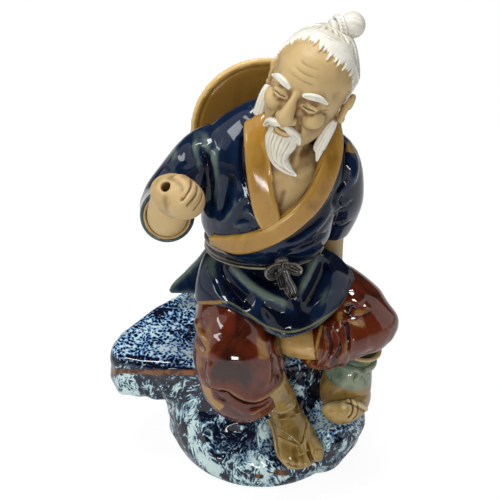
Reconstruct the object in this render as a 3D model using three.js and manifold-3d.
// A seated old fisherman in glazed stoneware, built as a potter builds one: pressed, rolled and
// thrown pieces of clay, luted one on the other over a hollow rock.
// Millimetres, +Z up. The figure faces -Y, and its own left hand lies towards +X.
import * as THREE from 'three';
import { mergeVertices } from 'three/addons/utils/BufferGeometryUtils.js';
import Module from 'manifold-3d';

const wasm = await Module();
wasm.setup();

// Driving dimensions of the clay work.
const JOINT_GAP = 0.3; // slip line left between two luted pieces
const ROCK_WALL = 10; // clay wall of the hollow rock
const FOOT_WIDTH = 108; // the rock where it stands, across
const FOOT_DEPTH = 106; // and from front to back
const SEAT_HEIGHT = 76; // top of the rock slab he sits on
const SLAB_THICKNESS = 33;
const SLAB_ROUNDING = 7;
const SLAB_TILT = 5; // degrees, lower at the front
const SHELF_HEIGHT = 37; // low shelf of rock under the creel and the fish

// Heights up the body, each measured from the one below.
const WAIST_ABOVE_SEAT = 64;
const SHOULDERS_ABOVE_WAIST = 66;
const HEAD_ABOVE_SHOULDERS = 37;
const THIGH_ABOVE_SEAT = 29; // middle of the thighs
const SHIN_REST_ABOVE_SEAT = 16; // middle of the folded shin

// Girths and lengths of the dressed body.
const SHOULDER_WIDTH = 82;
const CHEST_DEPTH = 57;
const WAIST_WIDTH = 62;
const WAIST_DEPTH = 47;
const THIGH_WIDTH = 48;
const TROUSER_HEM_WIDTH = 47;
const KNEE_RADIUS = 20;
const CUFF_RADIUS = 14.5;
const SHIN_RADIUS = 9;
const SLEEVE_RADIUS = 17;
const RIGHT_CUFF_RADIUS = 14.2;
const SLEEVE_BORE = 11.4; // radius of the open right cuff, inside
const SLEEVE_BORE_DEPTH = 13;
const WRIST_RADIUS = 8.5;
const SKIRT_WIDTH = 94; // the skirt of the robe, from hip to hip
const SKIRT_REACH = 44; // front hem, forward of the hips
const RIGHT_COLLAR_WIDTH = 13;
const LEFT_COLLAR_WIDTH = 10.6;
const COLLAR_THICKNESS = 7;
const BELT_HEIGHT = 9;
const BELT_STAND = 3; // how far the belt stands out from the waist
const BELT_TILT = 5; // degrees, higher at the front
const TAIL_HALF_THICKNESS = 2; // of the sash's hanging tails

// The head and what is on it.
const HEAD_HEIGHT = 58;
const HEAD_WIDTH = 39;
const HEAD_DEPTH = 46;
const HEAD_ROLL = 17; // degrees, leaning to his left
const HEAD_YAW = 25; // degrees, turned to his right
const HEAD_PITCH = 4; // degrees, chin lifted
const HAIR_THICKNESS = 1.6;
const HAIRLINE_LEAN = 62; // degrees that the edge of the hair leans back
const HAIRLINE_BACK = 8; // its place behind the ears
const TOPKNOT_RADIUS = 6.6;
const BEARD_LENGTH = 14; // below the chin
const LOCK_LENGTH = 24;

// The things he carries.
const HAT_RADIUS = 41.5;
const HAT_RISE = 15;
const HAT_THICKNESS = 3;
const HAT_TILT = 14; // degrees, its open side turned up
const CREEL_RADIUS = 17;
const CREEL_HEIGHT = 46;
const CREEL_NECK = 10.5;
const CREEL_RIM = 14;
const CREEL_LEAN = 14; // degrees, towards his left
const FISH_GIRTH = 8;
const ROD_HOLE_RADIUS = 2.6; // socket through the fist for a rod
const ROD_HOLE_DEPTH = 16;
const FINGER_RADIUS = 3.6;
const FOOT_LENGTH = 43;
const SOLE_THICKNESS = 3;
const STRAP_RADIUS = 1.7;

// Places that follow from those sizes.
const WAIST = SEAT_HEIGHT + WAIST_ABOVE_SEAT;
const SHOULDER = WAIST + SHOULDERS_ABOVE_WAIST;
const HEAD = SHOULDER + HEAD_ABOVE_SHOULDERS;
const THIGH = SEAT_HEIGHT + THIGH_ABOVE_SEAT;
const FOLDED_SHIN = SEAT_HEIGHT + SHIN_REST_ABOVE_SEAT;

const X_AXIS = new THREE.Vector3(1, 0, 0);
const Y_AXIS = new THREE.Vector3(0, 1, 0);
const Z_AXIS = new THREE.Vector3(0, 0, 1);
const point = (x, y, z) => new THREE.Vector3(x, y, z);
const radians = THREE.MathUtils.degToRad;

// Finishes
const finish = (color, roughness) => new THREE.MeshStandardMaterial({ color, roughness, metalness: 0 });
const rockGlaze = finish(0x3f5f7c, 0.16);
const blueGlaze = finish(0x1b2a52, 0.12);
const ochreGlaze = finish(0xb07d34, 0.16);
const brownGlaze = finish(0x6a2f1b, 0.14);
const blackGlaze = finish(0x2b2723, 0.12);
const whiteGlaze = finish(0xe4e2d8, 0.25);
const honeyGlaze = finish(0x94713a, 0.16);
const creelGlaze = finish(0x6f7a55, 0.2);
const fishGlaze = finish(0xb99f68, 0.3);
const bareClay = finish(0xc49a62, 0.55);

// A closed skin over rings of points, each ring with the same count, with both ends closed.
function loft(rings) {
  const count = rings[0].length;
  const positions = rings.flat().flatMap((p) => [p.x, p.y, p.z]);
  const faces = [];
  for (let r = 0; r + 1 < rings.length; r += 1) {
    for (let j = 0; j < count; j += 1) {
      const a = r * count + j;
      const b = r * count + ((j + 1) % count);
      faces.push(a, b, b + count, a, b + count, a + count);
    }
  }
  const close = (r, turned) => {
    const middle = rings[r].reduce((sum, p) => sum.add(p), point(0, 0, 0)).divideScalar(count);
    const hub = positions.push(middle.x, middle.y, middle.z) / 3 - 1;
    for (let j = 0; j < count; j += 1) {
      const a = r * count + j;
      const b = r * count + ((j + 1) % count);
      faces.push(...(turned ? [hub, b, a] : [hub, a, b]));
    }
  };
  close(0, true);
  close(rings.length - 1, false);
  const skin = new THREE.BufferGeometry();
  skin.setAttribute('position', new THREE.Float32BufferAttribute(positions, 3));
  return skin.setIndex(faces);
}

// Sections: where a point of the unit outline lies at an angle.
const roundSection = (angle) => [Math.cos(angle), Math.sin(angle)];
const squareness = 0.55; // share of a quarter turn that a band's corners take
const bandSection = (angle) => [Math.cos(angle), Math.sin(angle)]
  .map((v) => Math.sign(v) * Math.abs(v) ** squareness);

// A skin drawn through stations {at, wide, deep}. `side` is the way that `wide` is measured.
function sweep(stations, { side, sides = 13, steps = 2, section = roundSection, ripple = () => 1 }) {
  const path = new THREE.CatmullRomCurve3(stations.map((s) => s.at), false, 'centripetal');
  const sizes = new THREE.CatmullRomCurve3(stations.map((s) => point(s.wide, s.deep ?? s.wide, 0)));
  const last = (stations.length - 1) * steps;
  const rings = [];
  for (let step = 0; step <= last; step += 1) {
    const t = step / last;
    const middle = path.getPoint(t);
    const along = path.getTangent(t);
    const across = side.clone().addScaledVector(along, -side.dot(along)).normalize();
    const out = along.clone().cross(across);
    const size = sizes.getPoint(t);
    rings.push(Array.from({ length: sides }, (_, j) => {
      const angle = (j / sides) * 2 * Math.PI;
      const [u, v] = section(angle);
      const swell = ripple(angle, t);
      return middle.clone()
        .addScaledVector(across, u * size.x * swell)
        .addScaledVector(out, v * size.y * swell);
    }));
  }
  return loft(rings);
}

// A skin through level rings {z, x, y, wide, deep}, flat at its two ends.
function stack(levels, sides, ripple = () => 1) {
  return loft(levels.map((level, i) => Array.from({ length: sides }, (_, j) => {
    const angle = (j / sides) * 2 * Math.PI;
    const swell = ripple(angle, i / (levels.length - 1));
    return point(
      level.x + level.wide * Math.cos(angle) * swell,
      level.y + level.deep * Math.sin(angle) * swell,
      level.z,
    );
  })));
}

// Only the position of each corner, shared by the faces that meet there.
function bare(geometry) {
  const plain = geometry.clone();
  plain.deleteAttribute('normal');
  plain.deleteAttribute('uv');
  return mergeVertices(plain, 1e-4);
}

// A turned piece about +Z, from a profile of [radius, height] that starts and ends on the axis.
function turned(profile, sides) {
  const outline = profile.map(([r, z]) => new THREE.Vector2(r, z));
  return bare(new THREE.LatheGeometry(outline, sides).rotateX(Math.PI / 2));
}

const ball = (wide, deep, high, sides = 9, rows = 6) => bare(
  new THREE.SphereGeometry(1, sides, rows).rotateX(Math.PI / 2).scale(wide, deep, high),
);

const moved = (geometry, matrix) => geometry.clone().applyMatrix4(matrix);
const shifted = (geometry, at) => geometry.clone().translate(at.x, at.y, at.z);

// Solid and skin, to and fro.
function solid(geometry) {
  const made = new wasm.Manifold(new wasm.Mesh({
    numProp: 3,
    vertProperties: new Float32Array(geometry.getAttribute('position').array),
    triVerts: new Uint32Array(geometry.getIndex().array),
  }));
  return made;
}

function skinOf(body) {
  const mesh = body.getMesh();
  const skin = new THREE.BufferGeometry();
  skin.setAttribute('position', new THREE.Float32BufferAttribute(mesh.vertProperties, 3));
  return skin.setIndex(Array.from(mesh.triVerts));
}

// The main lump of clay once slivers have fallen away, with needless corners smoothed out.
const CORNER_TOLERANCE = 0.1;
function mainLump(body) {
  const lumps = body.simplify(CORNER_TOLERANCE).decompose();
  return lumps.reduce((a, b) => (b.volume() > a.volume() ? b : a));
}

// The same skin with every face moved out by a distance. A sharp corner moves further, up to a limit.
const SHARPEST_CORNER = 0.35;
function grown(geometry, distance) {
  const wider = geometry.clone();
  const place = wider.getAttribute('position');
  const index = wider.getIndex();
  const corners = Array.from({ length: place.count }, () => ({ out: point(0, 0, 0), faces: [] }));
  for (let f = 0; f < index.count; f += 3) {
    const ids = [0, 1, 2].map((k) => index.getX(f + k));
    const [a, b, c] = ids.map((i) => point(0, 0, 0).fromBufferAttribute(place, i));
    const face = b.clone().sub(a).cross(c.clone().sub(a)).normalize();
    [[a, b, c], [b, c, a], [c, a, b]].forEach(([here, next, last], k) => {
      const angle = next.clone().sub(here).angleTo(last.clone().sub(here)) || 0;
      corners[ids[k]].out.addScaledVector(face, angle);
      corners[ids[k]].faces.push(face);
    });
  }
  corners.forEach(({ out, faces }, i) => {
    out.normalize();
    const lean = Math.max(SHARPEST_CORNER, Math.min(...faces.map((face) => face.dot(out))));
    const reach = point(0, 0, 0).fromBufferAttribute(place, i).addScaledVector(out, distance / lean);
    place.setXYZ(i, reach.x, reach.y, reach.z);
  });
  return wider;
}

const joined = (...pieces) => skinOf(mainLump(pieces.map(solid).reduce((a, b) => a.add(b))));
const cut = (piece, ...tools) => skinOf(mainLump(
  tools.map(solid).reduce((a, b) => a.subtract(b), solid(piece)),
));
const kept = (piece, region) => skinOf(mainLump(solid(piece).intersect(solid(region))));

// A piece pressed onto its neighbours, with the slip line left between them.
const seated = (piece, ...neighbours) => cut(piece, ...neighbours.map((n) => grown(n, JOINT_GAP)));

const slabOfSpace = (wide, deep, high, at) => bare(
  new THREE.BoxGeometry(wide, deep, high).translate(at.x, at.y, at.z),
);

const figurine = new THREE.Group();
const figure = new THREE.Group();
figurine.add(figure);

function place(name, geometry, material, group = figure) {
  const mesh = new THREE.Mesh(geometry, material);
  mesh.name = name;
  group.add(mesh);
  return geometry;
}

// Rock: a boulder that leans out to a slab on his right, a low shelf on his left, hollow below.
const footMiddle = { x: 7, y: 3 };
const boulderSwell = (angle, t) => 1 + 0.025 * Math.sin(3 * angle + 1) * (1 - t) + 0.02 * Math.sin(5 * angle);
const boulder = stack([
  { z: 0, ...footMiddle, wide: FOOT_WIDTH / 2, deep: FOOT_DEPTH / 2 },
  { z: 8, ...footMiddle, wide: FOOT_WIDTH / 2 + 3, deep: FOOT_DEPTH / 2 + 3 },
  { z: SEAT_HEIGHT * 0.25, x: 6, y: 2, wide: FOOT_WIDTH / 2 + 3, deep: FOOT_DEPTH / 2 },
  { z: SEAT_HEIGHT * 0.45, x: 0, y: 5, wide: FOOT_WIDTH / 2 + 2, deep: FOOT_DEPTH / 2 - 9 },
  { z: SEAT_HEIGHT - 26, x: -4, y: 8, wide: FOOT_WIDTH / 2 + 3, deep: FOOT_DEPTH / 2 - 16 },
  { z: SEAT_HEIGHT - 12, x: -4, y: 9, wide: FOOT_WIDTH / 2, deep: FOOT_DEPTH / 2 - 22 },
], 20, boulderSwell);

const slabOutline = new THREE.Shape(new THREE.SplineCurve([
  [-78, -19], [-56, -23], [-20, -25], [22, -24], [44, -8], [56, 16], [52, 38],
  [14, 50], [-30, 47], [-60, 25], [-81, -4], [-78, -19],
].map(([x, y]) => new THREE.Vector2(x, y))).getPoints(24));
const slab = bare(new THREE.ExtrudeGeometry(slabOutline, {
  depth: SLAB_THICKNESS - 2 * SLAB_ROUNDING,
  bevelThickness: SLAB_ROUNDING,
  bevelSize: SLAB_ROUNDING,
  bevelOffset: -SLAB_ROUNDING,
  bevelSegments: 2,
  curveSegments: 1,
})).translate(0, 0, SLAB_ROUNDING - SLAB_THICKNESS).rotateX(radians(SLAB_TILT)).translate(0, 0, SEAT_HEIGHT);

const shelf = stack([
  { z: 0, x: 42, y: -12, wide: 18, deep: 27 },
  { z: 14, x: 44, y: -13, wide: 21, deep: 30 },
  { z: SHELF_HEIGHT - 8, x: 48, y: -14, wide: 22, deep: 30 },
  { z: SHELF_HEIGHT - 1, x: 48, y: -14, wide: 18, deep: 25 },
  { z: SHELF_HEIGHT, x: 48, y: -14, wide: 8, deep: 14 },
], 16);

const hollowWidth = FOOT_WIDTH / 2 - ROCK_WALL;
const hollowDepth = FOOT_DEPTH / 2 - ROCK_WALL;
const hollow = stack([
  { z: -1, ...footMiddle, wide: hollowWidth, deep: hollowDepth },
  { z: SEAT_HEIGHT * 0.26, x: 6, y: 3, wide: hollowWidth, deep: hollowDepth - 3 },
  { z: SEAT_HEIGHT * 0.52, x: -1, y: 7, wide: hollowWidth, deep: hollowDepth - 14 },
  { z: SEAT_HEIGHT - 18, x: -2, y: 9, wide: hollowWidth - 12, deep: hollowDepth - 26 },
], 16);
const rock = place('rock_base', cut(joined(boulder, slab, shelf), hollow), rockGlaze);

// Trousers: a seat under the robe, a right leg that hangs, a left leg folded on the slab.
const seatBlock = stack([
  { z: SEAT_HEIGHT - 4, x: 8, y: 13, wide: 33, deep: 25 },
  { z: SEAT_HEIGHT + 22, x: 9, y: 13, wide: 37, deep: 28 },
  { z: WAIST - 22, x: 9, y: 12, wide: 35, deep: 26 },
  { z: WAIST + 0.2, x: 8, y: 9, wide: WAIST_WIDTH / 2 - 4, deep: WAIST_DEPTH / 2 - 4 },
], 16);
place('trouser_seat', seated(seatBlock, rock), brownGlaze);

const hemFlute = (angle, t) => 1 + 0.05 * t * Math.sin(4 * angle + 0.6);
const rightThigh = sweep([
  { at: point(-4, 18, THIGH - 5), wide: THIGH_WIDTH / 2 - 3, deep: 19 },
  { at: point(-6, -6, THIGH + 1), wide: THIGH_WIDTH / 2, deep: 20 },
  { at: point(-8, -26, THIGH - 1), wide: THIGH_WIDTH / 2 - 1, deep: 20 },
  { at: point(-8, -41, THIGH - 5), wide: THIGH_WIDTH / 2 - 8, deep: 13 },
  { at: point(-8, -47, THIGH - 7), wide: 6, deep: 5 },
], { side: X_AXIS, sides: 12 });
const rightCalf = sweep([
  { at: point(-8, -28, THIGH + 6), wide: THIGH_WIDTH / 2 - 6, deep: 13 },
  { at: point(-8, -32, THIGH - 5), wide: THIGH_WIDTH / 2, deep: 20 },
  { at: point(-6, -33, THIGH - 26), wide: THIGH_WIDTH / 2, deep: 20 },
  { at: point(-3, -32, THIGH - 38), wide: TROUSER_HEM_WIDTH / 2, deep: 21 },
  { at: point(2, -31, THIGH - 49), wide: TROUSER_HEM_WIDTH / 2 - 4, deep: 18 },
], { side: X_AXIS, sides: 13, ripple: hemFlute });
const rightLegSkin = joined(rightThigh, rightCalf);
place('right_trouser_leg', seated(rightLegSkin, rock, seatBlock), brownGlaze);

const leftKnee = point(64, -12, THIGH - 6);
const leftThigh = sweep([
  { at: point(20, 18, THIGH - 5), wide: 19, deep: 19 },
  { at: point(44, 5, THIGH + 1), wide: 20, deep: 20 },
  { at: leftKnee, wide: KNEE_RADIUS, deep: KNEE_RADIUS },
  { at: point(78, -18, THIGH - 9), wide: KNEE_RADIUS * 0.6, deep: KNEE_RADIUS * 0.6 },
  { at: point(82, -20, THIGH - 10), wide: 4, deep: 4 },
], { side: Z_AXIS, sides: 12 });
const leftCalf = sweep([
  { at: leftKnee.clone().add(point(4, 2, 0)), wide: KNEE_RADIUS - 4 },
  { at: leftKnee.clone().add(point(-6, -6, -1)), wide: KNEE_RADIUS - 3 },
  { at: point(51, -22, FOLDED_SHIN + 3), wide: CUFF_RADIUS + 0.5 },
  { at: point(45, -24, FOLDED_SHIN + 1.5), wide: CUFF_RADIUS - 1.5 },
], { side: Z_AXIS, sides: 12 });
const leftLegSkin = joined(leftThigh, leftCalf);
place('left_trouser_leg', seated(leftLegSkin, rock, seatBlock, rightLegSkin), brownGlaze);

// Left shin and foot, folded behind the right calf, and the rolled cuff round the shin.
const leftShinSkin = sweep([
  { at: point(44, -25, FOLDED_SHIN + 1), wide: SHIN_RADIUS },
  { at: point(28, -23, FOLDED_SHIN), wide: SHIN_RADIUS },
  { at: point(12, -16, FOLDED_SHIN - 2), wide: SHIN_RADIUS - 1.5 },
  { at: point(0, -8, FOLDED_SHIN - 7), wide: SHIN_RADIUS - 1, deep: SHIN_RADIUS - 3 },
  { at: point(-16, 0, FOLDED_SHIN - 10), wide: 4, deep: 8 },
], { side: Z_AXIS, sides: 10 });
const cuffRoll = sweep([
  { at: point(52, -22, FOLDED_SHIN + 2.6), wide: CUFF_RADIUS - 1 },
  { at: point(48.5, -23, FOLDED_SHIN + 2), wide: CUFF_RADIUS + 1.2 },
  { at: point(44, -24, FOLDED_SHIN + 1.4), wide: CUFF_RADIUS },
  { at: point(41, -24.5, FOLDED_SHIN + 1), wide: CUFF_RADIUS + 0.8 },
  { at: point(37, -24.6, FOLDED_SHIN + 0.6), wide: CUFF_RADIUS - 0.6 },
], { side: Z_AXIS, sides: 12, steps: 1 });
place('left_trouser_cuff', seated(cuffRoll, leftThigh, leftCalf, leftShinSkin, rock), brownGlaze);

// Right foot: shin and foot in one piece of clay, on a rope sandal.
const heel = point(15, -22, 43);
const footAlong = point(0.42, -0.77, -0.48).normalize();
const footAcross = footAlong.clone().cross(Z_AXIS).normalize();
const footFrame = new THREE.Matrix4()
  .makeBasis(footAcross, footAlong, footAcross.clone().cross(footAlong))
  .setPosition(heel);
const footGroup = new THREE.Group();
footGroup.applyMatrix4(footFrame);
figure.add(footGroup);
const toFoot = footFrame.clone().invert();
const rockAtFoot = moved(rock, toFoot);
const trouserAtFoot = moved(rightLegSkin, toFoot);
const footSkin = sweep([
  { at: point(0, -7, 7), wide: 4, deep: 3 },
  { at: point(0, -3, 7), wide: 8, deep: 7 },
  { at: point(0, FOOT_LENGTH * 0.3, 8), wide: 9, deep: 8 },
  { at: point(0, FOOT_LENGTH * 0.62, 5.5), wide: 11.5, deep: 5.5 },
  { at: point(0, FOOT_LENGTH * 0.84, 4), wide: 11, deep: 4 },
  { at: point(0, FOOT_LENGTH * 0.94, 3.5), wide: 6, deep: 2.5 },
], { side: X_AXIS, sides: 11 });
const ankleSkin = sweep([
  { at: point(0, 4, 5), wide: 7.5 },
  { at: point(2, 3, 16), wide: SHIN_RADIUS },
  { at: point(7, -1, 27), wide: SHIN_RADIUS + 0.3 },
  { at: point(12, -6, 38), wide: SHIN_RADIUS + 0.5 },
], { side: X_AXIS, sides: 10, steps: 1 });
const wholeFootSkin = joined(footSkin, ankleSkin);
const foot = place(
  'right_shin_and_foot',
  seated(wholeFootSkin, rockAtFoot, trouserAtFoot),
  honeyGlaze,
  footGroup,
);
place(
  'left_shin_and_foot',
  seated(leftShinSkin, rock, seatBlock, rightLegSkin, leftLegSkin, moved(wholeFootSkin, footFrame)),
  bareClay,
);
const soleOutline = new THREE.Shape(new THREE.SplineCurve([
  [0, -9], [9, -3], [10, FOOT_LENGTH * 0.35], [14, FOOT_LENGTH * 0.68], [9, FOOT_LENGTH * 0.96],
  [-4, FOOT_LENGTH], [-13, FOOT_LENGTH * 0.8], [-10.5, FOOT_LENGTH * 0.35], [-9, -3], [0, -9],
].map(([x, y]) => new THREE.Vector2(x, y))).getPoints(20));
const soleSkin = bare(new THREE.ExtrudeGeometry(soleOutline, {
  depth: SOLE_THICKNESS - 2,
  bevelThickness: 1,
  bevelSize: 1,
  bevelOffset: -1,
  bevelSegments: 1,
  curveSegments: 1,
})).translate(0, 0, 1.6 - SOLE_THICKNESS);
const sole = place('right_sandal_sole', seated(soleSkin, rockAtFoot, foot), honeyGlaze, footGroup);
const strapOver = (side) => sweep([
  { at: point(side * 12, FOOT_LENGTH * 0.3, 2), wide: STRAP_RADIUS },
  { at: point(side * 10.5, FOOT_LENGTH * 0.38, 9), wide: STRAP_RADIUS },
  { at: point(side * 6, FOOT_LENGTH * 0.55, 11), wide: STRAP_RADIUS },
  { at: point(side * 2.4, FOOT_LENGTH * 0.72, 9.6), wide: STRAP_RADIUS },
  { at: point(side * 2, FOOT_LENGTH * 0.8, 6.5), wide: STRAP_RADIUS * 0.7 },
], { side: Z_AXIS.clone().add(X_AXIS), sides: 6 });
for (const [name, side] of [['right_sandal_outer_strap', 1], ['right_sandal_inner_strap', -1]]) {
  place(name, seated(strapOver(side), foot, sole, rockAtFoot), honeyGlaze, footGroup);
}
const ankleStrap = sweep([
  { at: point(-11, 4, 7), wide: STRAP_RADIUS },
  { at: point(-7.5, 11, 13), wide: STRAP_RADIUS },
  { at: point(0, 13.5, 16.5), wide: STRAP_RADIUS },
  { at: point(7.5, 11, 13), wide: STRAP_RADIUS },
  { at: point(11, 4, 7), wide: STRAP_RADIUS },
], { side: Y_AXIS, sides: 6 });
place('right_sandal_ankle_strap', seated(ankleStrap, foot, sole, rockAtFoot), honeyGlaze, footGroup);

// Bare chest and neck, then the jacket round them, open in a V.
const chestSkin = sweep([
  { at: point(11, 4, SHOULDER - 50), wide: 18, deep: 15 },
  { at: point(12, 3, SHOULDER - 32), wide: 26, deep: CHEST_DEPTH / 2 - 10 },
  { at: point(15, 3, SHOULDER - 12), wide: 28, deep: CHEST_DEPTH / 2 - 10.5 },
  { at: point(18, 3, SHOULDER + 1), wide: 17, deep: 13 },
  { at: point(21, 2, SHOULDER + 9), wide: 10.5 },
  { at: point(26, 0, SHOULDER + 26), wide: 10 },
], { side: X_AXIS, sides: 13 });
const jacketSkin = sweep([
  { at: point(8, 9, WAIST + 0.5), wide: WAIST_WIDTH / 2, deep: WAIST_DEPTH / 2 },
  { at: point(8, 9, WAIST + 6), wide: WAIST_WIDTH / 2, deep: WAIST_DEPTH / 2 },
  { at: point(9, 7, WAIST + 13), wide: WAIST_WIDTH / 2 + 5, deep: CHEST_DEPTH / 2 - 1 },
  { at: point(10, 6, WAIST + 25), wide: SHOULDER_WIDTH / 2 - 4, deep: CHEST_DEPTH / 2 + 0.5 },
  { at: point(12, 7, SHOULDER - 24), wide: SHOULDER_WIDTH / 2 - 1, deep: CHEST_DEPTH / 2 },
  { at: point(13, 8, SHOULDER - 10), wide: SHOULDER_WIDTH / 2, deep: CHEST_DEPTH / 2 - 2 },
  { at: point(14, 9, SHOULDER), wide: SHOULDER_WIDTH / 2 - 5, deep: CHEST_DEPTH / 2 - 6 },
  { at: point(16, 9, SHOULDER + 7), wide: SHOULDER_WIDTH / 2 - 15, deep: 17 },
  { at: point(19, 8, SHOULDER + 11), wide: 16, deep: 12 },
], { side: X_AXIS, sides: 18, steps: 1 });
const opening = new THREE.Shape([[12, SHOULDER - 40], [46, SHOULDER + 22], [4, SHOULDER + 22]]
  .map(([x, z]) => new THREE.Vector2(x, z)));
const openingTool = bare(new THREE.ExtrudeGeometry(opening, { depth: 52, bevelEnabled: false }))
  .rotateX(Math.PI / 2);
const headFrame = new THREE.Matrix4()
  .makeRotationFromEuler(new THREE.Euler(radians(-HEAD_PITCH), radians(HEAD_ROLL), radians(-HEAD_YAW), 'ZXY'))
  .setPosition(30, 0, HEAD);

// Head: an egg with a jaw and a nose, in its own frame with the face at -Y and the eyes at z = 0.
const halfHead = HEAD_HEIGHT / 2;
const skullSkin = sweep([
  { at: point(0, -12, -halfHead), wide: 5, deep: 4 },
  { at: point(0, -11, -halfHead + 3), wide: 11, deep: 9 },
  { at: point(0, -7, -halfHead + 11), wide: 16, deep: 15 },
  { at: point(0, -2, -halfHead + 21), wide: HEAD_WIDTH / 2 - 1.5, deep: HEAD_DEPTH / 2 - 3 },
  { at: point(0, 0, 3), wide: HEAD_WIDTH / 2 - 0.3, deep: HEAD_DEPTH / 2 - 0.6 },
  { at: point(0, 1, halfHead - 17), wide: HEAD_WIDTH / 2, deep: HEAD_DEPTH / 2 },
  { at: point(0, 2, halfHead - 7), wide: HEAD_WIDTH / 2 - 5, deep: HEAD_DEPTH / 2 - 5 },
  { at: point(0, 2, halfHead - 2), wide: 9, deep: 11 },
  { at: point(0, 2, halfHead), wide: 2, deep: 2 },
], { side: X_AXIS, sides: 14, steps: 1 });
const noseSkin = sweep([
  { at: point(0, -20, 5), wide: 2.2, deep: 3 },
  { at: point(0, -23.5, -3), wide: 3, deep: 4 },
  { at: point(0, -25.5, -9), wide: 5, deep: 4.2 },
  { at: point(0, -23, -12), wide: 3.6, deep: 2.5 },
], { side: X_AXIS, sides: 9 });
const headGroup = new THREE.Group();
headGroup.applyMatrix4(headFrame);
figure.add(headGroup);
const head = place('head', joined(skullSkin, noseSkin), bareClay, headGroup);
const headInPlace = moved(head, headFrame);

place('chest_and_neck', seated(chestSkin, headInPlace), bareClay);
place(
  'robe_jacket',
  seated(cut(jacketSkin, openingTool), chestSkin, headInPlace),
  blueGlaze,
);

// Sash belt: a ring round the waist that covers the seam between jacket and skirt.
const SEAM_ROOM = 0.7; // between the belt and the cloth inside it
const beltRing = (stand, height) => stack([-1, 0, 1].map((step) => ({
  z: step * height / 2,
  x: 0,
  y: 0,
  wide: WAIST_WIDTH / 2 + stand + (step === 0 ? BELT_STAND / 3 : 0),
  deep: WAIST_DEPTH / 2 + stand + (step === 0 ? BELT_STAND / 3 : 0),
})), 24);
const waistMiddle = { x: 8, y: 9 };
const waistFrame = new THREE.Matrix4()
  .makeRotationX(radians(-BELT_TILT))
  .setPosition(waistMiddle.x, waistMiddle.y, WAIST + 1);
const beltSkin = cut(beltRing(BELT_STAND, BELT_HEIGHT), stack([-BELT_HEIGHT, BELT_HEIGHT].map((z) => ({
  z,
  x: 0,
  y: 0,
  wide: WAIST_WIDTH / 2 + SEAM_ROOM,
  deep: WAIST_DEPTH / 2 + SEAM_ROOM,
})), 24));
const belt = place('sash_belt', seated(moved(beltSkin, waistFrame), jacketSkin), blackGlaze);

// Skirt of the robe: a front flap over the lap and a back flap on the slab, slit at the sides.
const BACK_SLIT_LINE = 25; // front edge of the back flap
const FLAP_THICKNESS = 4; // cloth and the clay pressed under it
// The flap from belt to hem, row by row: across and forward on a skirt of the drawn size, and the drop below
// the waist.
const DRAWN_WIDTH = 94;
const DRAWN_REACH = 44;
const flapRows = [
  [[-30, 8, 2], [-27, 1, 2], [-21, -7, 2], [-11, -12, 2], [0, -14, 2], [11, -12, 2], [21, -7, 2],
    [28, 0, 2], [30, 8, 2]],
  [[-35, 4, 8], [-34, -4, 7], [-27, -13, 6], [-14, -19, 7], [0, -22, 9], [14, -20, 9], [27, -14, 8],
    [38, -4, 6.5], [40, 6, 6]],
  [[-38, -1, 18], [-37, -11, 14.5], [-27, -22, 11.5], [-12, -28, 13], [1, -31, 16], [14, -31, 17],
    [29, -24, 16], [43, -12, 12.5], [46, 2, 10]],
  [[-40, -5, 26], [-37, -16, 20.5], [-24, -27, 13.5], [-10, -34, 16], [2, -38, 21], [14, -39, 23],
    [29, -32, 22], [45, -16, 18], [50, -1, 14]],
  [[-40.5, -7, 31], [-36, -19, 24.5], [-21, -31, 16], [-8, -37, 18], [3, -41.5, 23], [14, -43, 25],
    [28, -36, 26], [43, -21, 23], [52, -6, 18]],
];
// Folds run from the hips to the middle of the hem: their places across at belt and hem, width and height.
const flapFolds = [
  [0.2, 0.42, 0.05, 2.2], [0.3, 0.5, 0.045, -2.2], [0.62, 0.66, 0.05, 2], [0.72, 0.6, 0.045, -2],
];
const smoothRow = (places, count) => new THREE.CatmullRomCurve3(places).getPoints(count);
function flapSkin(across, down) {
  const rows = flapRows.map((row) => smoothRow(row.map(([x, y, drop]) => point(
    waistMiddle.x + (x / DRAWN_WIDTH) * SKIRT_WIDTH,
    (y / DRAWN_REACH) * SKIRT_REACH,
    WAIST - drop,
  )), across));
  const columns = rows[0].map((_, i) => smoothRow(rows.map((row) => row[i]), down));
  const last = columns.length - 1;
  const inward = columns.map((column, i) => column.map((spot, j) => {
    const alongRow = columns[Math.min(i + 1, last)][j].clone().sub(columns[Math.max(i - 1, 0)][j]);
    const downColumn = column[Math.min(j + 1, down)].clone().sub(column[Math.max(j - 1, 0)]);
    return alongRow.cross(downColumn).normalize();
  }));
  return loft(columns.map((column, i) => {
    const outer = column.map((spot, j) => {
      const share = j / down;
      const fold = flapFolds.reduce((sum, [top, hem, wide, high]) => {
        const off = (i / last - THREE.MathUtils.lerp(top, hem, share)) / wide;
        return sum + high * Math.exp(-off * off) * Math.sin(Math.PI * Math.min(1, share + 0.15));
      }, 0);
      return spot.clone().addScaledVector(inward[i][j], -fold);
    });
    const inner = column.map((spot, j) => spot.clone().addScaledVector(inward[i][j], FLAP_THICKNESS));
    return [...outer, ...inner.reverse()];
  }));
}
const frontFlapSkin = flapSkin(22, 8);
place(
  'robe_front_flap',
  seated(frontFlapSkin, rightLegSkin, leftLegSkin, seatBlock, belt),
  blueGlaze,
);
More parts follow.
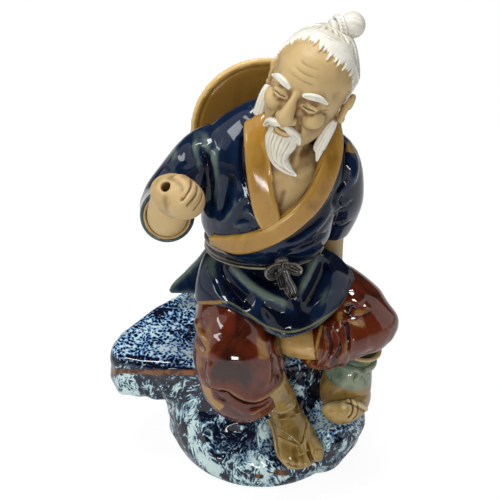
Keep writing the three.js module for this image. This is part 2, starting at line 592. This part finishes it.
const backBell = stack([
  { z: SEAT_HEIGHT + 12, x: -2, y: 15, wide: SKIRT_WIDTH / 2 + 2, deep: 34 },
  { z: SEAT_HEIGHT + 18, x: -2, y: 15, wide: SKIRT_WIDTH / 2 + 1, deep: 35 },
  { z: SEAT_HEIGHT + 34, x: 4, y: 14, wide: SKIRT_WIDTH / 2 - 6, deep: 33 },
  { z: WAIST - 12, x: 8, y: 11, wide: SKIRT_WIDTH / 2 - 11, deep: 29 },
  { z: WAIST - 4, x: 8, y: 9, wide: WAIST_WIDTH / 2 + 1, deep: WAIST_DEPTH / 2 + 2 },
  { z: WAIST - 1, x: 8, y: 9, wide: WAIST_WIDTH / 2, deep: WAIST_DEPTH / 2 },
], 24, (angle, t) => 1 + 0.03 * (1 - t) * Math.sin(8 * angle));
const backSpace = slabOfSpace(200, 120, 160, point(0, BACK_SLIT_LINE + 60, WAIST - 20));
const backFlapSkin = kept(backBell, backSpace);
const backFlap = place('robe_back_flap', seated(backFlapSkin, rock, leftThigh, seatBlock, belt), blueGlaze);

// Sleeves: the right one bent forward and open at the cuff, the left one straight to the slab.
const rightElbow = point(-45, 3, SHOULDER - 38);
const rightCuff = point(-42.5, -25, SHOULDER - 25);
const rightSleeveAxis = rightCuff.clone().sub(rightElbow).normalize();
const upperSleeve = sweep([
  { at: point(-6, 9, SHOULDER - 8), wide: SLEEVE_RADIUS },
  { at: point(-21, 8, SHOULDER - 11), wide: SLEEVE_RADIUS + 0.5 },
  { at: point(-36, 5, SHOULDER - 25), wide: SLEEVE_RADIUS - 1.5 },
  { at: rightElbow, wide: RIGHT_CUFF_RADIUS + 0.3 },
  { at: rightElbow.clone().add(point(-1, -2, -10)), wide: RIGHT_CUFF_RADIUS * 0.6 },
], { side: Y_AXIS, sides: 13 });
const lowerSleeve = sweep([
  { at: rightElbow.clone().addScaledVector(rightSleeveAxis, -8), wide: RIGHT_CUFF_RADIUS * 0.6 },
  { at: rightElbow.clone(), wide: RIGHT_CUFF_RADIUS + 0.3 },
  { at: rightElbow.clone().lerp(rightCuff, 0.5), wide: RIGHT_CUFF_RADIUS },
  { at: rightCuff, wide: RIGHT_CUFF_RADIUS },
], { side: X_AXIS, sides: 14 });
const cuffBore = sweep([
  { at: rightCuff.clone().addScaledVector(rightSleeveAxis, -SLEEVE_BORE_DEPTH), wide: SLEEVE_BORE - 2 },
  { at: rightCuff.clone().addScaledVector(rightSleeveAxis, -SLEEVE_BORE_DEPTH / 2), wide: SLEEVE_BORE - 1 },
  { at: rightCuff.clone().addScaledVector(rightSleeveAxis, 5), wide: SLEEVE_BORE },
], { side: X_AXIS, sides: 13 });
const rightSleeve = place(
  'right_sleeve',
  seated(cut(joined(upperSleeve, lowerSleeve), cuffBore), jacketSkin),
  blueGlaze,
);
const leftCuff = point(46, 26, WAIST);
const leftSleeveSkin = sweep([
  { at: point(33, 9, SHOULDER - 6), wide: SLEEVE_RADIUS - 1 },
  { at: point(44, 9, SHOULDER - 15), wide: SLEEVE_RADIUS - 2 },
  { at: point(49, 13, SHOULDER - 36), wide: SLEEVE_RADIUS - 3.5 },
  { at: point(49, 20, WAIST + 14), wide: SLEEVE_RADIUS - 4.5 },
  { at: leftCuff, wide: SLEEVE_RADIUS - 4.5 },
], { side: Y_AXIS, sides: 13 });
const leftSleeve = place(
  'left_sleeve',
  seated(leftSleeveSkin, jacketSkin, backFlapSkin, frontFlapSkin, belt),
  blueGlaze,
);
const leftArmSkin = sweep([
  { at: leftCuff.clone().add(point(0.5, -0.5, 5)), wide: WRIST_RADIUS },
  { at: leftCuff.clone().add(point(0.5, 4, -18)), wide: WRIST_RADIUS - 0.5 },
  { at: point(50, 31, SEAT_HEIGHT + 14), wide: WRIST_RADIUS },
  { at: point(51, 32, SEAT_HEIGHT + 4), wide: WRIST_RADIUS + 2.5 },
  { at: point(51, 32, SEAT_HEIGHT - 1), wide: WRIST_RADIUS + 1 },
], { side: X_AXIS, sides: 9 });
place(
  'left_forearm_and_hand',
  seated(leftArmSkin, leftSleeveSkin, rock, backFlapSkin, seatBlock, leftThigh),
  bareClay,
);

// Right forearm and fist, in a frame with the knuckles at +X and the rod socket along +Z.
const fistMiddle = point(-36, -37, SHOULDER - 5);
const socketWay = point(-0.35, -0.57, 0.74).normalize();
const knuckleLean = point(0.8, -0.36, -0.48);
const knuckleWay = knuckleLean.clone().addScaledVector(socketWay, -knuckleLean.dot(socketWay)).normalize();
const fistFrame = new THREE.Matrix4()
  .makeBasis(knuckleWay, socketWay.clone().cross(knuckleWay), socketWay)
  .setPosition(fistMiddle);
const fistGroup = new THREE.Group();
fistGroup.applyMatrix4(fistFrame);
figure.add(fistGroup);
const toFist = fistFrame.clone().invert();
const forearmStart = rightCuff.clone()
  .addScaledVector(rightSleeveAxis, -SLEEVE_BORE_DEPTH - 3)
  .applyMatrix4(toFist);
const forearmSkin = sweep([
  { at: forearmStart, wide: WRIST_RADIUS + 1.2 },
  { at: forearmStart.clone().lerp(point(-6, 0, -3), 0.45), wide: WRIST_RADIUS + 1 },
  { at: forearmStart.clone().lerp(point(-6, 0, -3), 0.8), wide: WRIST_RADIUS + 0.5 },
  { at: point(-5, 0, -2), wide: WRIST_RADIUS },
], { side: Z_AXIS, sides: 10 });
const palmSkin = shifted(ball(12, 9.5, 11.5, 9, 7), point(-1.5, 0, 0));
const fingerReaches = [9.7, 10.6, 10.2, 8.9]; // from the index finger to the little one
const fingerCurl = (reach, row) => {
  const height = 7.4 - row * FINGER_RADIUS * 1.55;
  return sweep([
    { at: point(-2, 7.4 + row * 0.2, height), wide: FINGER_RADIUS },
    { at: point(reach - 3.4, 7.2 - row * 0.3, height), wide: FINGER_RADIUS },
    { at: point(reach + 0.4, 1.5 - row * 0.2, height - 0.4), wide: FINGER_RADIUS },
    { at: point(reach - 3, -5.6 - row * 0.1, height - 0.6), wide: FINGER_RADIUS },
    { at: point(0.2 * row, -7.2 - row * 0.2, height - 0.6), wide: FINGER_RADIUS * 0.85 },
  ], { side: point(row * 0.1, 0, 1), sides: 7, steps: 1 });
};
const thumbSkin = sweep([
  { at: point(-9, -4, 3), wide: 3.6 },
  { at: point(-5, -7, 8), wide: 3.8 },
  { at: point(2, -7, 11), wide: 3.4 },
  { at: point(7.5, -4, 11.4), wide: 2.4 },
], { side: Z_AXIS, sides: 6 });
const socket = bare(new THREE.CylinderGeometry(ROD_HOLE_RADIUS, ROD_HOLE_RADIUS, 2 * ROD_HOLE_DEPTH, 9))
  .rotateX(Math.PI / 2).translate(-1.5, 0.5, 11.5);
const handSkin = cut(
  joined(palmSkin, forearmSkin, thumbSkin, ...fingerReaches.map(fingerCurl)),
  socket,
);
place(
  'right_forearm_and_fist',
  seated(handSkin, moved(rightSleeve, toFist)),
  bareClay,
  fistGroup,
);

// Collar: the right side first, then the left side lapped over it down to the belt.
const halfChest = CHEST_DEPTH / 2;
const collarStations = (places, width) => places.map(([x, forward, z], i) => ({
  at: point(x, -forward * halfChest, SHOULDER + z),
  wide: i === places.length - 1 ? width * 0.38 : width / 2,
  deep: COLLAR_THICKNESS / 2,
}));
const rightCollarSkin = sweep(collarStations([
  [20, -0.67, 10], [6, -0.42, 14.5], [0, 0, 14], [1, 0.39, 5], [4.5, 0.63, -12], [9, 0.74, -28],
  [13, 0.77, -41],
], RIGHT_COLLAR_WIDTH), { side: point(1, -0.15, 0.1), sides: 8, section: bandSection });
const rightCollar = place(
  'right_collar_band',
  seated(rightCollarSkin, jacketSkin, chestSkin, headInPlace),
  ochreGlaze,
);
const leftCollarSkin = sweep(collarStations([
  [20, -0.67, 10], [34, -0.46, 12.5], [41, -0.07, 11], [41, 0.28, -3], [34, 0.56, -19], [22, 0.74, -31],
  [7, 0.78, -41], [-8, 0.65, -48], [-21, 0.37, -51],
], LEFT_COLLAR_WIDTH), { side: point(0.75, -0.1, 0.75), sides: 8, section: bandSection });
const leftCollar = place(
  'left_collar_band',
  seated(leftCollarSkin, jacketSkin, chestSkin, headInPlace, rightCollar, belt, leftSleeveSkin),
  ochreGlaze,
);

// The sash's bow: a knot, two loops and two tails.
const knotPlace = point(17, 9 - WAIST_DEPTH / 2 - BELT_STAND - 2, WAIST + 6.5);
const knot = place(
  'sash_knot',
  seated(shifted(ball(4.4, 3.8, 4), knotPlace), belt, jacketSkin, frontFlapSkin),
  blackGlaze,
);
const bowLoop = (turn) => bare(new THREE.TorusGeometry(2.7, 1.7, 6, 12).scale(1, 1.5, 1))
  .translate(0, -6, 0).rotateX(radians(64)).rotateY(radians(turn))
  .translate(knotPlace.x, knotPlace.y - 2.5, knotPlace.z);
const rightLoop = bowLoop(52);
const bowSeat = [knot, belt, frontFlapSkin, jacketSkin];
const leftLoop = bowLoop(-80);
place('sash_right_loop', seated(rightLoop, ...bowSeat), blackGlaze);
place('sash_left_loop', seated(leftLoop, ...bowSeat, rightLoop), blackGlaze);
const tail = (drape) => sweep(drape.map(([x, y, z, wide]) => ({
  at: knotPlace.clone().add(point(x, y, z)),
  wide,
  deep: TAIL_HALF_THICKNESS,
})), { side: X_AXIS, sides: 8, section: bandSection });
const longTail = tail([[0.6, -2.5, -2, 2], [2.4, -5, -9, 3], [4.6, -7.2, -14.5, 3.9], [6.3, -9, -19, 2.4]]);
const shortTail = tail([[-0.6, -2.5, -2, 1.8], [-0.4, -5, -8, 2.6], [0.6, -7.5, -13.5, 2]]);
place('sash_long_tail', seated(longTail, ...bowSeat, rightLoop, leftLoop), blackGlaze);
place('sash_short_tail', seated(shortTail, ...bowSeat, rightLoop, leftLoop, longTail), blackGlaze);

// What is laid on the head, in the head's own frame: ears, hair, brows, moustache, beard and locks.
const toHead = headFrame.clone().invert();
const bodyAtHead = [jacketSkin, chestSkin, rightCollar, leftCollar].map((piece) => moved(piece, toHead));
const ears = [-1, 1].map((side) => place(
  side < 0 ? 'right_ear' : 'left_ear',
  seated(ball(3, 5, 8, 8, 6).rotateX(radians(-12)).rotateZ(radians(side * 24))
    .translate(side * (HEAD_WIDTH / 2 + 0.6), 4, -5), head),
  bareClay,
  headGroup,
));
const hairRegion = slabOfSpace(90, 90, 60, point(0, 0, 30))
  .rotateX(radians(-HAIRLINE_LEAN)).translate(0, HAIRLINE_BACK, 6);
const hair = place(
  'hair_cap',
  seated(kept(grown(skullSkin, HAIR_THICKNESS + JOINT_GAP), hairRegion), skullSkin, ...ears),
  whiteGlaze,
  headGroup,
);
const topknotLean = new THREE.Matrix4()
  .makeRotationFromEuler(new THREE.Euler(radians(-40), radians(60), 0, 'YXZ'))
  .setPosition(-3, 9, halfHead - 2.5);
const topknotSkin = turned([
  [0, 0], [5.4, 1], [4.6, 4], [4.4, 6.4], [5.6, 8], [TOPKNOT_RADIUS, 11.6], [TOPKNOT_RADIUS - 0.7, 15],
  [TOPKNOT_RADIUS - 3.4, 17.6], [0, 18.4],
], 12);
const hairSkin = grown(skullSkin, HAIR_THICKNESS + JOINT_GAP);
const topknot = place('topknot', seated(moved(topknotSkin, topknotLean), hairSkin), whiteGlaze, headGroup);
const tieSkin = bare(new THREE.TorusGeometry(6.1, 1.5, 6, 12)).translate(0, 0, 5.4);
place('topknot_tie', seated(moved(tieSkin, topknotLean), topknot, hairSkin), whiteGlaze, headGroup);

const tuft = (stations, side, sides = 8) => sweep(
  stations.map(([x, y, z, wide, deep]) => ({ at: point(x, y, z), wide, deep })),
  { side, sides },
);
for (const side of [-1, 1]) {
  const name = side < 0 ? 'right' : 'left';
  const brow = tuft([
    [side * 3.5, -22.6, 6.2, 1, 1.2], [side * 7, -22.4, 7.4, 1.7, 1.9], [side * 11.5, -20.6, 7.6, 1.7, 1.8],
    [side * 15.5, -17.4, 5.2, 0.7, 0.8],
  ], Z_AXIS, 8);
  place(`${name}_brow`, seated(brow, head), whiteGlaze, headGroup);
}
const beardReach = -halfHead - BEARD_LENGTH;
const beard = place('beard', seated(tuft([
  [0.5, -17, -halfHead + 9, 8, 3.4], [0.8, -18.5, -halfHead + 3, 8.4, 5.5], [2, -19, -halfHead - 3, 6.4, 5],
  [4.4, -19.5, -halfHead - 7, 4.4, 3.8], [8.6, -20, beardReach + 4.5, 2.6, 2.3],
  [13.5, -21, beardReach + 3, 0.7, 0.7],
], X_AXIS, 9), head, bodyAtHead[1]), whiteGlaze, headGroup);
for (const side of [-1, 1]) {
  const name = side < 0 ? 'right' : 'left';
  const moustache = tuft([
    [side * 0.9, -23.4, -13.6, 1, 1.4], [side * 4, -23, -14.4, 1.9, 2.2], [side * 8, -20.6, -17, 1.8, 2],
    [side * 10.2, -18.4, -22, 0.9, 0.9],
  ], Y_AXIS, 8);
  place(`${name}_moustache`, seated(moustache, head, beard), whiteGlaze, headGroup);
}
for (const side of [-1, 1]) {
  const name = side < 0 ? 'right' : 'left';
  const lock = tuft([
    [side * (HEAD_WIDTH / 2 - 0.2), -4, -9, 1.6, 2], [side * (HEAD_WIDTH / 2 - 0.8), -5.5, -14, 2.6, 3.6],
    [side * (HEAD_WIDTH / 2 - 1.8), -7, -14 - LOCK_LENGTH * 0.45, 2.4, 3.2],
    [side * (HEAD_WIDTH / 2 - 1), -8, -14 - LOCK_LENGTH * 0.85, 0.7, 0.7],
  ], X_AXIS);
  place(`${name}_side_lock`, seated(lock, head, ...ears, hair, ...bodyAtHead, beard), whiteGlaze, headGroup);
}

// Hat: a shallow cone slung on the back, its open side towards the shoulders.
const hatFrame = new THREE.Matrix4().makeRotationX(radians(-90 - HAT_TILT)).setPosition(9, 38, SHOULDER - 13);
const hatGroup = new THREE.Group();
hatGroup.applyMatrix4(hatFrame);
figure.add(hatGroup);
const toHat = hatFrame.clone().invert();
const hatSkin = turned([
  [0, HAT_RISE - HAT_THICKNESS], [HAT_RADIUS * 0.35, HAT_RISE * 0.72 - HAT_THICKNESS],
  [HAT_RADIUS * 0.75, HAT_RISE * 0.25 - HAT_THICKNESS], [HAT_RADIUS - 2, -HAT_THICKNESS + 0.4],
  [HAT_RADIUS, -HAT_THICKNESS * 0.6], [HAT_RADIUS, 0], [HAT_RADIUS * 0.75, HAT_RISE * 0.25],
  [HAT_RADIUS * 0.35, HAT_RISE * 0.72], [HAT_RADIUS * 0.08, HAT_RISE * 0.97], [0, HAT_RISE],
], 24);
place('straw_hat', seated(hatSkin, ...[
  jacketSkin, rightSleeve, leftSleeve, backFlap, belt, rightCollar, leftCollar,
].map((piece) => moved(piece, toHat))), ochreGlaze, hatGroup);

// Creel: a thrown jar with a narrow neck and a flared lip, open at the top, with a cord round its neck.
const creelFrame = new THREE.Matrix4()
  .makeRotationY(radians(CREEL_LEAN))
  .setPosition(53, -7, SHELF_HEIGHT - 6);
const creelGroup = new THREE.Group();
creelGroup.applyMatrix4(creelFrame);
figure.add(creelGroup);
const toCreel = creelFrame.clone().invert();
const CREEL_WALL = 3;
const creelNeckAt = CREEL_HEIGHT - 9;
const creelSkin = turned([
  [0, 0], [CREEL_RADIUS - 5, 0], [CREEL_RADIUS - 1, 6], [CREEL_RADIUS, 14], [CREEL_RADIUS - 2, 23],
  [CREEL_NECK + 2, creelNeckAt - 6], [CREEL_NECK, creelNeckAt], [CREEL_RIM - 1, CREEL_HEIGHT - 2],
  [CREEL_RIM, CREEL_HEIGHT], [CREEL_RIM - CREEL_WALL, CREEL_HEIGHT], [CREEL_NECK - CREEL_WALL, creelNeckAt],
  [CREEL_NECK - CREEL_WALL, creelNeckAt - 6], [CREEL_RADIUS - CREEL_WALL - 3, 22],
  [CREEL_RADIUS - CREEL_WALL - 1, 14], [CREEL_RADIUS - CREEL_WALL - 4, 5], [0, 4],
], 14);
const legsAtCreel = [leftLegSkin, rock].map((piece) => moved(piece, toCreel));
const creel = place('creel', seated(creelSkin, ...legsAtCreel), creelGlaze, creelGroup);
const creelCord = bare(new THREE.TorusGeometry(CREEL_NECK + 1.6, 1.7, 6, 14)).translate(0, 0, creelNeckAt);
place('creel_cord', seated(creelCord, creel, ...legsAtCreel), honeyGlaze, creelGroup);

// Fish: laid round the front of the creel, its tail out of sight behind.
const fishPath = [
  [42, -30, 9, 2.2, 1.6], [46, -31, 9, 5.6, 4.4], [52, -31, 7.4, FISH_GIRTH, 5.6],
  [59, -28, 5.6, FISH_GIRTH, 5.6], [66, -20, 3, FISH_GIRTH - 1.4, 4.6], [70, -9, 1, 5, 3.2], [69, 0, 1, 2.6, 1.7],
].map(([x, y, z, wide, deep]) => ({ at: point(x, y, SHELF_HEIGHT + z), wide, deep }));
const fishSkin = sweep(fishPath, { side: Z_AXIS, sides: 10 });
const creelInPlace = moved(creel, creelFrame);
const fish = place('fish', seated(fishSkin, rock, creelInPlace), fishGlaze);
const tailFinSkin = sweep([
  { at: point(69.5, -2, SHELF_HEIGHT + 1), wide: 2.2, deep: 1.6 },
  { at: point(68.5, 4, SHELF_HEIGHT + 3), wide: 6, deep: 1.4 },
  { at: point(66, 9, SHELF_HEIGHT + 5), wide: 9, deep: 0.9 },
], { side: Z_AXIS, sides: 8 });
place('fish_tail_fin', seated(tailFinSkin, fish, creelInPlace, rock), fishGlaze);

// The part's own origin is under the middle of its outline, on the ground.
figurine.updateMatrixWorld(true);
const outline = new THREE.Box3().setFromObject(figure, true);
const middle = outline.getCenter(point(0, 0, 0));
figure.position.set(-middle.x, -middle.y, -outline.min.z);

export default figurine;
